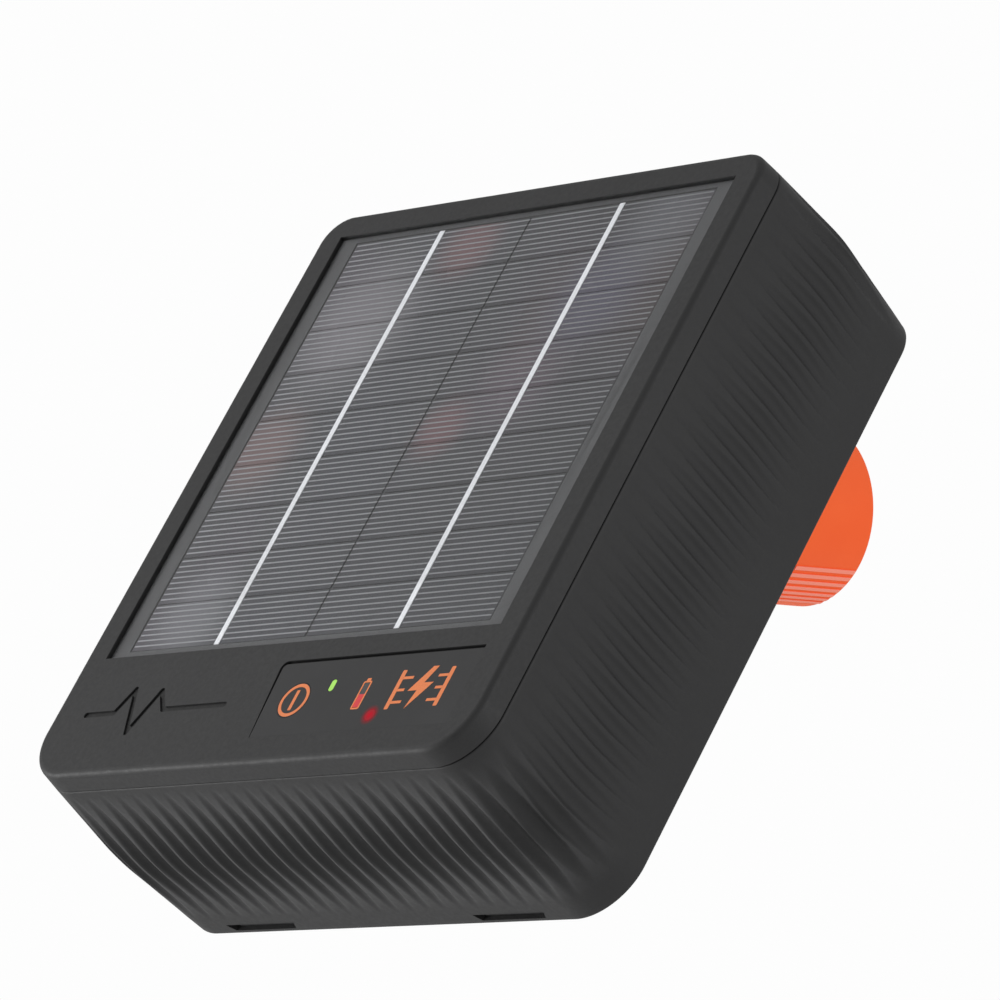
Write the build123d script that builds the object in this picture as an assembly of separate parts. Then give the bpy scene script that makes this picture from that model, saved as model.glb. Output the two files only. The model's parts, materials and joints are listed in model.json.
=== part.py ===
from build123d import *
import math
import os

os.makedirs("parts", exist_ok=True)

# ---------------------------------------------------------------------------
# Driving dimensions, millimetres.
# Row frame: origin where the post axis meets the clamp screw axis, +X to the
# right seen from the front, +Y to the back, +Z up along the post.
# The energizer itself is drawn in its own upright unit frame (x right, y up
# the solar face, z out of the solar face) and tilted into the row frame.
# ---------------------------------------------------------------------------
TILT = 34.2                    # panel tilt from vertical, degrees
FACE_Y, FACE_Z = -102.5, 1.97  # centre of the front face in the row frame

# housing outline: (z, half width, bottom, top, top corner r, bottom corner r)
FACE = (0.0, 75.0, -83.15, 83.15, 8.0, 13.0)
PART = (-6.0, 76.0, -83.6, 83.1, 8.5, 13.5)
WAIST = (-30.9, 76.5, -86.45, 84.05, 9.5, 14.0)
BACK = (-58.55, 74.6, -85.6, 81.3, 10.6, 14.0)
BEZEL_END = -5.6
SHELL_START = -6.1
WALL = 3.0
RIB_FRONT, RIB_REAR = -7.4, -52.4
RIB_R = 2.48
RIBS_X, RIB_PITCH_X = 24, 5.53   # grooves across the bottom and the top
RIBS_Y, RIB_PITCH_Y = 28, 5.18   # grooves up each side

# solar laminate
REC_X, REC_LO, REC_HI = 67.5, -49.6, 76.2
GLASS_TOP, GLASS_T = -0.8, 0.3
CELL_Z0, CELL_Z1 = -1.25, -1.55
STRIPS, STRIP_PITCH, STRIP_H = 9, 13.5, 13.2
STRIP_TOP = 74.2
CELL_X0, CELL_X1 = 0.45, 61.2
BUSBAR_X, BUSBAR_W = 30.8, 1.7

# controls
BTN_X, BTN_Y, BTN_R = 10.2, -66.4, 4.7

# terminals on the back cover
TERM_X, TERM_Y = 28.0, -52.0
STUD_R = 3.0

# post clamp
POST_SEAT_R = 3.1
HINGE_Y = -19.0
HINGE_Z = 0.0
PIN_R = 2.5
KNOB_R, KNOB_Y0, KNOB_Y1 = 22.5, 8.0, 29.2
RUN = 0.05                     # radial running clearance

CT, ST = math.cos(math.radians(TILT)), math.sin(math.radians(TILT))
UNIT = Plane(origin=(0, FACE_Y, FACE_Z), x_dir=(1, 0, 0), z_dir=(0, -CT, ST))
# the tilt hinge in unit coordinates
HY = (HINGE_Y - FACE_Y) * ST + (HINGE_Z - FACE_Z) * CT
HZ = -(HINGE_Y - FACE_Y) * CT + (HINGE_Z - FACE_Z) * ST

nodes = {}


# ---------------------------------------------------------------------------
# helpers
# ---------------------------------------------------------------------------
def bx(x0, x1, y0, y1, z0, z1):
    return Pos((x0 + x1) / 2, (y0 + y1) / 2, (z0 + z1) / 2) * Box(abs(x1 - x0), abs(y1 - y0), abs(z1 - z0))


def cz(x, y, z0, z1, r):
    return Pos(x, y, (z0 + z1) / 2) * Cylinder(r, abs(z1 - z0))


def cx(y, z, x0, x1, r):
    return Pos((x0 + x1) / 2, y, z) * Rot(0, 90, 0) * Cylinder(r, abs(x1 - x0))


def cy(x, z, y0, y1, r):
    return Pos(x, (y0 + y1) / 2, z) * Rot(90, 0, 0) * Cylinder(r, abs(y1 - y0))


def section(z):
    table = [FACE, PART, WAIST, BACK]
    for a, b in zip(table, table[1:]):
        if b[0] <= z <= a[0]:
            t = (a[0] - z) / (a[0] - b[0])
            return (z,) + tuple(p + (q - p) * t for p, q in zip(a[1:], b[1:]))
    return table[-1]


def outline(sec, inset=0.0, z=None):
    """Closed rounded-rectangle wire of a housing section, moved in by inset."""
    zz = sec[0] if z is None else z
    w, yb, yt, rt, rb = sec[1] - inset, sec[2] + inset, sec[3] - inset, sec[4] - inset, sec[5] - inset
    rt, rb = max(rt, 0.6), max(rb, 0.6)
    k = math.sqrt(0.5)

    def v(x, y):
        return Vector(x, y, zz)

    e = [
        Edge.make_line(v(-w + rb, yb), v(w - rb, yb)),
        Edge.make_three_point_arc(v(w - rb, yb), v(w - rb + rb * k, yb + rb - rb * k), v(w, yb + rb)),
        Edge.make_line(v(w, yb + rb), v(w, yt - rt)),
        Edge.make_three_point_arc(v(w, yt - rt), v(w - rt + rt * k, yt - rt + rt * k), v(w - rt, yt)),
        Edge.make_line(v(w - rt, yt), v(-w + rt, yt)),
        Edge.make_three_point_arc(v(-w + rt, yt), v(-w + rt - rt * k, yt - rt + rt * k), v(-w, yt - rt)),
        Edge.make_line(v(-w, yt - rt), v(-w, yb + rb)),
        Edge.make_three_point_arc(v(-w, yb + rb), v(-w + rb - rb * k, yb + rb - rb * k), v(-w + rb, yb)),
    ]
    return Wire(e)


def prism(sec, inset, z0, z1):
    lo, hi = min(z0, z1), max(z0, z1)
    return Part() + extrude(Face(outline(sec, inset, lo)), amount=hi - lo, dir=(0, 0, 1))


def poly(points, z0, z1, r=None):
    """Extruded polygon in the unit face; r rounds the corners given by index."""
    lo, hi = min(z0, z1), max(z0, z1)
    f = make_face(Polyline(*points, close=True))
    if r:
        for idx, rad in r.items():
            px, py = points[idx]
            vs = [q for q in f.vertices() if abs(q.X - px) < 1e-6 and abs(q.Y - py) < 1e-6]
            f = fillet(vs, rad)
    return Pos(0, 0, lo) * extrude(f, hi - lo)


def slot_box(x, y, w, h, z0, z1, r):
    lo, hi = min(z0, z1), max(z0, z1)
    return Pos(x, y, lo) * extrude(RectangleRounded(w, h, r), hi - lo)


def hexagon(x, y, z0, z1, flats):
    lo, hi = min(z0, z1), max(z0, z1)
    return Pos(x, y, lo) * extrude(RegularPolygon(flats / 2, 6, major_radius=False), hi - lo)


def tube(pts, r):
    """Round lead following a smooth curve through points."""
    path = Spline(*pts)
    prof = Plane(origin=path @ 0, z_dir=path % 0) * Circle(r)
    return sweep(prof, path=path)


def group(items):
    out = []
    for i in items:
        out.extend(i.solids())
    return Compound(out)


def unit(name, shape):
    """Place a piece drawn in the unit frame; several solids are moved one by one."""
    solids = [UNIT.location * s for s in shape.solids()]
    nodes[name] = solids[0] if len(solids) == 1 else Compound(solids)


def row(name, shape):
    nodes[name] = shape


# ---------------------------------------------------------------------------
# Housing: front bezel
# ---------------------------------------------------------------------------
s_end = section(BEZEL_END)
bezel_skin = Part() + Solid.make_loft([outline(s_end), outline(FACE)], ruled=True)
front_edges = [e for e in bezel_skin.edges() if abs(e.center().Z) < 1e-4]
bezel_skin = fillet(front_edges, 1.6)
pocket_frame = bx(-69.5, 69.5, -51.6, 78.2, -5.8, 0)
core = prism(s_end, 3.0, BEZEL_END - 0.01, -2.8) - pocket_frame
bezel = bezel_skin - core
inner_limit = prism(s_end, 3.1, -16, -2.0)
HS = [(-68.5, 75.5), (68.5, 75.5), (-68.0, -75.6), (68.0, -75.6)]   # housing screws
PS_LOW = [(-50, -75.2), (50, -75.2)]                                 # circuit board posts
PS_HIGH = [(-50, -46.8), (50, -46.8)]
inside = prism(s_end, 3.1, -10.0, -2.8) - prism(s_end, 4.6, -10.1, -2.7)
inside += bx(-69.5, 69.5, -51.6, 78.2, -5.8, -2.8)
for x, y in HS:
    inside += cz(x, y, -10.2, -2.8, 4.0)
for x, y in PS_LOW + PS_HIGH:
    inside += cz(x, y, -14.4, -2.8, 3.0)
bezel += inside & inner_limit
bezel -= bx(-REC_X, REC_X, REC_LO, REC_HI, -4.3, 1)
bezel -= bx(-61.5, 61.5, -43.6, 70.2, -20, 1)
OV_POCKET = [(-0.9, -55.0), (66.4, -55.0), (66.4, -76.1), (1.3, -76.1)]
bezel -= poly(OV_POCKET, -0.85, 1, {0: 2.0})
bezel -= cz(BTN_X, BTN_Y, -20, 1, BTN_R + 0.1)
STATUS = (21.0, -63.0)
BATT = (32.8, -66.4)
WARN = (39.3, -72.2)
bezel -= slot_box(*STATUS, 1.7, 3.3, -10, 1, 0.8)
bezel -= slot_box(*BATT, 2.4, 6.8, -10, 1, 0.3)
bezel -= cz(*WARN, -10, 1, 1.5)
for x, y in HS:
    bezel -= cz(x, y, -10.3, -6.4, 1.5)
for x, y in PS_LOW + PS_HIGH:
    bezel -= cz(x, y, -14.5, -7.9, 1.2)
# plain debossed pulse trace in the lower left of the face
TRACE = [(-63, -66), (-53, -66), (-49.5, -59.5), (-44.5, -72), (-39.5, -60.5), (-35.5, -66), (-14, -66)]
for (x0, y0), (x1, y1) in zip(TRACE, TRACE[1:]):
    L = math.hypot(x1 - x0, y1 - y0)
    a = math.degrees(math.atan2(y1 - y0, x1 - x0))
    bezel -= Pos((x0 + x1) / 2, (y0 + y1) / 2, 0) * Rot(0, 0, a) * Box(L, 1.5, 0.9)
for x0, y0 in TRACE:
    bezel -= cz(x0, y0, -0.45, 0.45, 0.75)
unit("front_bezel", bezel)

# ---------------------------------------------------------------------------
# Solar laminate, stacked in the bezel recess
# ---------------------------------------------------------------------------
PX, PLO, PHI = REC_X - 0.2, REC_LO + 0.2, REC_HI - 0.2
unit("panel_glass", bx(-PX, PX, PLO, PHI, GLASS_TOP - GLASS_T, GLASS_TOP))
backing = bx(-PX, PX, PLO, PHI, -3.5, GLASS_TOP - GLASS_T)
backing -= bx(-61.6, 61.6, -47.3, 74.5, CELL_Z1, 0)
unit("panel_backing", backing)
cells = []
for k in range(STRIPS):
    y1 = STRIP_TOP - k * STRIP_PITCH
    cells.append(bx(-CELL_X1, -CELL_X0, y1 - STRIP_H, y1, CELL_Z1, CELL_Z0))
    cells.append(bx(CELL_X0, CELL_X1, y1 - STRIP_H, y1, CELL_Z1, CELL_Z0))
unit("solar_cells", group(cells))
unit("busbar_ribbons", group([bx(s * BUSBAR_X - BUSBAR_W / 2, s * BUSBAR_X + BUSBAR_W / 2, -47.2, 74.2,
                                 CELL_Z0, GLASS_TOP - GLASS_T) for s in (-1, 1)]))
tape = bx(-67.2, 67.2, -49.3, 75.9, -4.3, -3.5) - bx(-62.2, 62.2, -44.3, 70.9, -5, -3)
unit("panel_tape", tape)
unit("panel_junction_box", fillet((bx(-11, 11, -24, -10, -9.5, -3.5)).edges().filter_by(Axis.Z), 1.5)
     - cz(-4, -22, -12, -9.0, 0.75) - cz(4, -22, -12, -9.0, 0.75))

# ---------------------------------------------------------------------------
# Control area
# ---------------------------------------------------------------------------
overlay = poly([(0.0, -55.9), (66.35, -55.9), (66.35, -76.05), (1.45, -76.05)], -0.85, -0.05, {0: 1.3})
overlay -= cz(BTN_X, BTN_Y, -2, 1, BTN_R + 0.1)
overlay -= slot_box(*STATUS, 1.7, 3.3, -2, 1, 0.8)
overlay -= slot_box(*BATT, 2.4, 6.8, -2, 1, 0.3)
overlay -= cz(*WARN, -2, 1, 1.5)
unit("control_overlay", overlay)
button = cz(BTN_X, BTN_Y, -2.95, -0.05, BTN_R)
button += cz(BTN_X, BTN_Y, -3.9, -2.9, 5.9)
button += cz(BTN_X, BTN_Y, -10.95, -3.8, 2.2)
unit("power_button", button)
coil = Helix(pitch=2.02, height=9.1, radius=5.3)
wire = sweep(Plane(origin=coil @ 0, z_dir=coil % 0) * Circle(0.35), path=coil)
unit("button_spring", Pos(BTN_X, BTN_Y, -13.8) * wire)
unit("status_light_pipe", slot_box(*STATUS, 1.5, 3.1, -9.8, -0.05, 0.7) + slot_box(*STATUS, 3.2, 4.8, -3.8, -2.8, 0.6))
unit("battery_light_pipe", slot_box(*BATT, 2.2, 6.6, -9.8, -0.05, 0.25) + slot_box(*BATT, 3.8, 8.2, -3.8, -2.8, 0.6))
unit("warning_light_pipe", cz(*WARN, -9.8, -0.05, 1.4) + cz(*WARN, -3.8, -2.8, 2.0))

# ---------------------------------------------------------------------------
# Housing: ribbed rear shell
# ---------------------------------------------------------------------------
s0 = section(SHELL_START)
outer = Part() + Solid.make_loft([outline(s0), outline(WAIST)], ruled=True)
outer += Solid.make_loft([outline(WAIST), outline(BACK)], ruled=True)
hollow = Part() + Solid.make_loft([outline(s0, WALL), outline(WAIST, WALL)], ruled=True)
hollow += Solid.make_loft([outline(WAIST, WALL), outline(BACK, WALL)], ruled=True)
shell = outer - hollow
extra = prism(section(-54.0), 2.4, -55.0, -53.0) - prism(section(-54.0), 5.5, -56, -52)
for x, y in HS:
    extra += cz(x, y, -53.5, -10.4, 4.5)
CS = [(-50.0, 73.2), (50.0, 73.2)]                                   # cover screws
for x, y in CS:
    extra += cz(x, y, -55.0, -42.0, 4.0) + bx(x - 4, x + 4, y, 80.5, -55.0, -42.0)
limit = Part() + Solid.make_loft([outline(s0, 1.8), outline(WAIST, 1.8)], ruled=True)
limit += Solid.make_loft([outline(WAIST, 1.8), outline(BACK, 1.8)], ruled=True)
shell += extra & limit
for x, y in HS:
    shell -= cz(x, y, -47.0, -9, 1.7) + cz(x, y, -55.5, -46.0, 3.3)
for x, y in CS:
    shell -= cz(x, y, -56, -46.0, 1.25)
WINDOWS = (((-54.3, -30.4), (-52.6, -31.6)), ((30.4, 53.6), (31.8, 52.3)))
for (a0, a1), (b0, b1) in WINDOWS:
    v = [Vector(a0, -90, -54.9), Vector(a1, -90, -54.9), Vector(b1, -90, -57.1), Vector(b0, -90, -57.1)]
    f = Face(Wire([Edge.make_line(p, q) for p, q in zip(v, v[1:] + v[:1])]))
    shell -= extrude(f, amount=10.0, dir=(0, 1, 0))


def stations(sec):
    """Groove stations round one section: x, y and outward normal, matching from section to section."""
    w, yb, yt, rt, rb = sec[1:]
    hb, ht = WAIST[1] - WAIST[5], WAIST[1] - WAIST[4]
    out = []

    def corner(s, top, deg):
        """deg runs from the bottom (or top) face at 0 to the side at 90."""
        r = rt if top else rb
        a = math.radians(deg)
        nx, ny = s * math.sin(a), (math.cos(a) if top else -math.cos(a))
        cyy = yt - r if top else yb + r
        out.append((s * (w - r) + r * nx, cyy + r * ny, nx, ny))

    for i in range(RIBS_X):                            # bottom and top
        d = (i - (RIBS_X - 1) / 2) * RIB_PITCH_X
        if abs(d) <= hb:
            out.append((d / hb * (w - rb), yb, 0, -1))
        else:
            corner(math.copysign(1, d), False, math.degrees((abs(d) - hb) / WAIST[5]))
        out.append((d / ht * (w - rt), yt, 0, 1))
    for s in (-1, 1):
        for i in range(RIBS_Y):                        # sides
            f = 0.5 + (i - (RIBS_Y - 1) / 2) * RIB_PITCH_Y / (WAIST[3] - WAIST[4] - WAIST[2] - WAIST[5])
            out.append((s * w, yb + rb + (yt - rt - yb - rb) * f, s, 0))
        for a in (24.5, 44.4, 64.4, 84.3):
            corner(s, False, a)
        for a in (12.4, 45.0, 78.5):
            corner(s, True, a)
    return out


front_pts = stations(section(RIB_FRONT))
rear_pts = stations(section(RIB_REAR))
grooves = []
for (x0, y0, nx, ny), (x1, y1, mx, my) in zip(front_pts, rear_pts):
    a = Vector(x0 + nx * RIB_R, y0 + ny * RIB_R, RIB_FRONT)
    b = Vector(x1 + mx * RIB_R, y1 + my * RIB_R, RIB_REAR)
    d = (b - a).normalized()
    a = a - d * 2
    grooves.append(Solid.make_cylinder(RIB_R, (b - a).length + 2, Plane(origin=a, z_dir=d)))
shell -= grooves
unit("rear_shell", shell)

gasket = prism(section(-6.0), 1.0, SHELL_START, BEZEL_END) - prism(section(-6.0), 2.9, -7, -5)
unit("front_gasket", gasket)
gasket2 = prism(BACK, 3.3, -55.8, -55.0) - prism(BACK, 5.3, -56, -54)
unit("rear_gasket", gasket2)

# ---------------------------------------------------------------------------
# Back cover with hinge lugs, terminal collars and hook tabs
# ---------------------------------------------------------------------------
cover = prism(BACK, 3.2, -58.35, -55.8)
cover += bx(-51.9, -32.1, -84.4, -82.0, -57.0, -55.9) + bx(32.1, 51.9, -84.4, -82.0, -57.0, -55.9)
LUG0, LUG1 = 11.0, 16.0
for s in (-1, 1):
    x0, x1 = sorted((s * LUG0, s * LUG1))
    p0, p1 = sorted((s * 10.5, s * 19.0))
    cover += bx(p0, p1, HY - 15, HY + 12, -60.35, -58.0)
    tri = make_face(Polyline((HY - 13, -60.0), (HY + 11, -60.0), (HY + 6.2, HZ - 1.9), (HY - 6.2, HZ - 1.9), close=True))
    web = Pos(x0, 0, 0) * extrude(Plane.YZ * tri, x1 - x0)
    cover += web
    cover += cx(HY, HZ, x0, x1, 6.5)
for s in (-1, 1):
    cover += cz(s * TERM_X, TERM_Y, -60.35, -58.0, 9.5)
cover -= cx(HY, HZ, -30, 30, PIN_R)
for s in (-1, 1):
    cover -= cz(s * TERM_X, TERM_Y, -62, -50, STUD_R + 0.1)
    cover -= cz(s * TERM_X, TERM_Y, -62, -58.95, 4.3)
for x, y in CS:
    cover -= cz(x, y, -60, -50, 1.6) + cz(x, y, -60, -57.0, 3.2)
cover -= cz(0, -68, -60, -50, 3.0)
# shallow stiffening ribs on the outside of the cover
for x in (-58, -46, 46, 58):
    cover += bx(x - 1, x + 1, -34, 62, -59.35, -58.2)
unit("back_cover", cover)
unit("breather_vent", cz(0, -68, -60.2, -58.35, 5.5) + cz(0, -68, -58.4, -54.6, 3.0) - cz(0, -68, -61, -59.3, 1.2))

# ---------------------------------------------------------------------------
# Screws of the housing
# ---------------------------------------------------------------------------
def pan_screw(x, y, z_seat, z_tip, shank, head, h):
    """Screw driven towards +z: head below the seat, shank up to the tip."""
    s = cz(x, y, z_seat, z_tip, shank) + cz(x, y, z_seat - h, z_seat, head)
    s -= bx(x - head * 0.6, x + head * 0.6, y - 0.35, y + 0.35, z_seat - h - 1, z_seat - h * 0.45)
    s -= bx(x - 0.35, x + 0.35, y - head * 0.6, y + head * 0.6, z_seat - h - 1, z_seat - h * 0.45)
    return s


unit("housing_screws", group([pan_screw(x, y, -46.0, -7.0, 1.5, 2.8, 2.0) for x, y in HS]))
unit("cover_screws", group([pan_screw(x, y, -57.0, -47.5, 1.25, 2.9, 1.3) for x, y in CS]))
unit("board_screws", group([pan_screw(x, y, -16.0, -8.4, 1.2, 2.4, 1.5) for x, y in PS_LOW + PS_HIGH]))

# ---------------------------------------------------------------------------
# Electronics behind the face
# ---------------------------------------------------------------------------
board = bx(-57, 57, -78.3, -42.5, -16.0, -14.4)
for x, y in PS_LOW + PS_HIGH:
    board -= cz(x, y, -17, -14, 1.3)
unit("circuit_board", board)
unit("tact_switch", bx(BTN_X - 3, BTN_X + 3, BTN_Y - 3, BTN_Y + 3, -14.4, -12.4) + cz(BTN_X, BTN_Y, -12.5, -11.8, 1.6))
leds = []
for x, y in (STATUS, BATT, WARN):
    leds.append(cz(x, y, -14.4, -11.6, 1.5) + Pos(x, y, -11.6) * Sphere(1.5) - cz(x, y, -20, -14.4, 3))
unit("indicator_leds", group(leds))
unit("controller_chip", bx(-30, -20, -64, -56, -14.4, -13.0))
# ferrite/steel core round the pulse transformer's windings
TX, TY = -30.0, -60.0
core_t = bx(TX - 17, TX + 17, TY - 14, TY + 14, -44, -18)
core_t -= bx(TX - 12, TX - 5, TY - 20, TY + 20, -39, -23)
core_t -= bx(TX + 5, TX + 12, TY - 20, TY + 20, -39, -23)
unit("transformer_core", core_t)
bob = Part() + bx(TX - 6.2, TX + 6.2, TY - 16, TY + 16, -38.9, -23.1)
for yy in (TY - 16, TY + 14.6):
    bob += bx(TX - 11.9, TX + 11.9, yy, yy + 1.4, -38.9, -23.1)
bob -= bx(TX - 5.0, TX + 5.0, TY - 14, TY + 14, -60, 0)
bob -= bx(TX - 5.05, TX + 5.05, TY - 20, TY + 20, -60, 0) & bx(TX - 40, TX + 40, TY - 14, TY + 14, -60, 0)
unit("transformer_bobbin", bob & (bx(TX - 12, TX + 12, TY - 20, TY + 20, -39, -23)))
wind = bx(TX - 11.5, TX - 6.2, TY - 14.5, TY + 14.5, -38.6, -23.4)
wind2 = bx(TX + 6.2, TX + 11.5, TY - 14.5, TY + 14.5, -38.6, -23.4)
unit("transformer_winding", group([wind, wind2]))
unit("transformer_feet", group([bx(TX - 15, TX - 9, TY - 12, TY + 12, -18, -16), bx(TX + 9, TX + 15, TY - 12, TY + 12, -18, -16)]))
cap = fillet(bx(0, 32, -76, -56, -42, -16.0).edges().filter_by(Axis.Z), 1.5)
unit("storage_capacitor", cap)
unit("filter_capacitors", group([cz(41.5, -69, -29, -16, 5.0) - cz(41.5, -69, -30, -28.6, 3.8),
                                 cz(52.5, -64, -29, -16, 5.0) - cz(52.5, -64, -30, -28.6, 3.8)]))
hs = bx(37, 57, -50.6, -48.6, -34, -18.2) + bx(37, 39.5, -50.6, -48.6, -18.5, -16.0) + bx(54.5, 57, -50.6, -48.6, -18.5, -16.0)
for i in range(6):
    hs += bx(37 + i * 3.6, 38.6 + i * 3.6, -48.7, -44.0, -34, -20.0)
unit("heat_sink", hs)
unit("thyristor", bx(42, 52, -54.8, -50.6, -28, -18) + bx(42, 52, -51.9, -50.6, -33, -27.5) - cy(47, -30.6, -56, -49, 1.6)
     + bx(43, 44, -53.3, -52.7, -18.1, -16) + bx(46.5, 47.5, -53.3, -52.7, -18.1, -16) + bx(50, 51, -53.3, -52.7, -18.1, -16))
unit("wire_headers", group([bx(-10, 0, -50, -44, -24, -16), bx(6, 16, -50, -44, -24, -16), bx(20, 30, -50, -44, -24, -16)]))

# ---------------------------------------------------------------------------
# Battery behind the solar laminate, strapped into a tray on the cover
# ---------------------------------------------------------------------------
CELL_R, CELL_L, CELL_Z = 9.1, 65.0, -43.0
CELL_YS = (10.0, 29.0)
tray = bx(-36, 36, -1.5, 40.5, -55.8, -42.0)
for y in CELL_YS:
    tray -= cx(y, CELL_Z, -33.3, 33.3, CELL_R + 0.1)
    tray -= bx(-33.3, 33.3, y - CELL_R + 0.6, y + CELL_R - 0.6, CELL_Z, -30)
tray -= bx(32.2, 33.3, 4, 35, -46.5, -30)
unit("battery_tray", tray)
unit("battery_cells", group([cx(y, CELL_Z, -CELL_L / 2, CELL_L / 2, CELL_R) for y in CELL_YS]))
strap = bx(-8, 8, -3.0, 42.0, -33.8, -32.4) + bx(-8, 8, -3.0, -1.5, -52, -33) + bx(-8, 8, 40.5, 42.0, -52, -33)
unit("battery_strap", strap)
unit("cell_tabs", group([bx(32.5, 32.8, 5, 34, CELL_Z - 3, CELL_Z + 3),
                         bx(-32.8, -32.5, 6, 14, CELL_Z - 3, CELL_Z + 3),
                         bx(-32.8, -32.5, 25, 33, CELL_Z - 3, CELL_Z + 3)]))
# leads
def lead(points, header_x):
    """Lead that ends straight down onto its header."""
    return tube(points + [(header_x, -46.98, -30.0), (header_x, -47, -24.2)], 0.7)


unit("panel_leads", group([lead([(-4, -22, -9.7), (-4.6, -28, -16), (-6.5, -37, -26)], -7.5),
                           lead([(4, -22, -9.7), (3, -28, -16), (-0.5, -37, -26)], -2.5)]))
unit("battery_leads", group([lead([(-33.7, 7.5, -38.0), (-34.2, 4, -33), (-30, -8, -28.5), (-4, -24, -27), (7.5, -38, -30)], 8.5),
                             lead([(-33.7, 31.0, -38.0), (-34.4, 29, -33), (-30, 22, -29), (-14, 2, -27), (6, -20, -26), (13.0, -38, -30)], 13.5)]))
unit("output_leads", group([lead([(-28, -44.8, -54.1), (-26, -40, -48), (4, -34, -42), (20.5, -38, -34)], 22.5),
                            lead([(28, -44.8, -54.1), (32, -40, -47), (31, -37.5, -38)], 27.5)]))

# ---------------------------------------------------------------------------
# Fence and earth terminals
# ---------------------------------------------------------------------------
def threaded(r, root, pitch, length):
    """Ring-grooved rod along +Z from 0 to length, standing for a cut thread."""
    pts = [(0, 0), (root, 0)]
    z = 0.0
    while z + pitch <= length + 1e-6:
        pts += [(r, z + pitch * 0.4), (r, z + pitch * 0.6), (root, z + pitch)]
        z += pitch
    pts += [(root, length), (0, length)]
    clean = [pts[0]]
    for p in pts[1:]:
        if math.hypot(p[0] - clean[-1][0], p[1] - clean[-1][1]) > 1e-6:
            clean.append(p)
    f = make_face(Polyline(*clean, close=True))
    return revolve(Plane.XZ * f, Axis.Z)


def stud(x):
    s = cz(x, TERM_Y, -61.0, -49.0, STUD_R) + cz(x, TERM_Y, -61.35, -60.35, 5.5)
    return s + Pos(x, TERM_Y, -73.35) * threaded(STUD_R, STUD_R - 0.45, 1.0, 12.0)


unit("fence_stud", stud(-TERM_X))
unit("earth_stud", stud(TERM_X))
unit("stud_nuts", group([hexagon(s * TERM_X, TERM_Y, -55.0, -50.0, 10) - cz(s * TERM_X, TERM_Y, -56, -49, STUD_R) for s in (-1, 1)]))
unit("lead_tags", group([cz(s * TERM_X, TERM_Y, -55.8, -55.0, 5.3) + bx(s * TERM_X - 1.5, s * TERM_X + 1.5, TERM_Y + 4, TERM_Y + 9, -55.8, -55.0)
                         - cz(s * TERM_X, TERM_Y, -56, -54, STUD_R + 0.05)
                         - cz(s * TERM_X, -44.8, -56, -54, 0.9) for s in (-1, 1)]))
unit("stud_seals", group([cz(s * TERM_X, TERM_Y, -60.35, -58.95, 4.25) - cz(s * TERM_X, TERM_Y, -61, -58, STUD_R + 0.02) for s in (-1, 1)]))


def clamp_washer(x):
    w = cz(x, TERM_Y, -62.55, -61.35, 8.2)
    w = chamfer([e for e in w.edges() if abs(e.center().Z + 62.55) < 1e-3], 0.3)
    return w - cz(x, TERM_Y, -64, -60, STUD_R + RUN)


def terminal_knob(x):
    k = cz(x, TERM_Y, -76.8, -62.55, 9.4)
    k -= [cz(x + 11.3 * math.cos(math.radians(a)), TERM_Y + 11.3 * math.sin(math.radians(a)), -80, -66.0, 3.2) for a in range(0, 360, 60)]
    top = [e for e in k.edges() if abs(e.center().Z + 76.8) < 1e-3]
    k = chamfer(top, 0.8)
    k -= cz(x, TERM_Y, -74.8, -60, STUD_R + RUN)
    return k


unit("fence_washer", clamp_washer(-TERM_X))
unit("earth_washer", clamp_washer(TERM_X))
unit("fence_terminal_knob", terminal_knob(-TERM_X))
unit("earth_terminal_knob", terminal_knob(TERM_X))

# ---------------------------------------------------------------------------
# Tilt hinge (axis along X through HINGE_Y, HINGE_Z)
# ---------------------------------------------------------------------------
pin = cx(HINGE_Y, HINGE_Z, -17.0, 17.8, PIN_R) + cx(HINGE_Y, HINGE_Z, -18.6, -16.05, 4.2)
pin -= cx(HINGE_Y, HINGE_Z, 16.2, 16.9, 8) - cx(HINGE_Y, HINGE_Z, 16.0, 17.0, 2.1)
row("hinge_pin", pin)
row("hinge_pin_clip", cx(HINGE_Y, HINGE_Z, 16.25, 16.85, 4.4) - cx(HINGE_Y, HINGE_Z, 16, 17, 2.12)
    - bx(16, 17, HINGE_Y - 1.3, HINGE_Y + 1.3, HINGE_Z - 6, HINGE_Z))
row("friction_washers", group([cx(HINGE_Y, HINGE_Z, a, b, 6.2) - cx(HINGE_Y, HINGE_Z, -20, 20, PIN_R + 0.05)
                               for a, b in ((10.05, 10.95), (-10.95, -10.05))]))

# ---------------------------------------------------------------------------
# Post bracket: knuckle, round seat for the post, arms and threaded bridge
# ---------------------------------------------------------------------------
prof = make_face(Polyline((HINGE_Y, -6.4), (-9.0, -12.0), (20.5, -12.0), (20.5, 12.0), (-9.0, 12.0), (HINGE_Y, 6.4), close=True))
bracket = Pos(-9.0, 0, 0) * extrude(Plane.YZ * prof, 18.0)
bracket += cx(HINGE_Y, HINGE_Z, -10.0, 10.0, 6.5)
long_edges = [e for e in bracket.edges() if abs(abs(e.center().X) - 9.0) < 1e-3 and abs(abs(e.center().Z) - 12.0) < 1e-3]
bracket = chamfer(long_edges, 1.2)
bracket -= bx(-5.0, 5.0, 0.0, 15.5, -20, 20)
bracket -= cz(0, 0, -20, 20, POST_SEAT_R)
bracket -= cy(0, 0, 10, 25, 4.0 + RUN)
bracket -= cx(HINGE_Y, HINGE_Z, -12, 12, PIN_R + RUN)
row("post_bracket", bracket)

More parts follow.
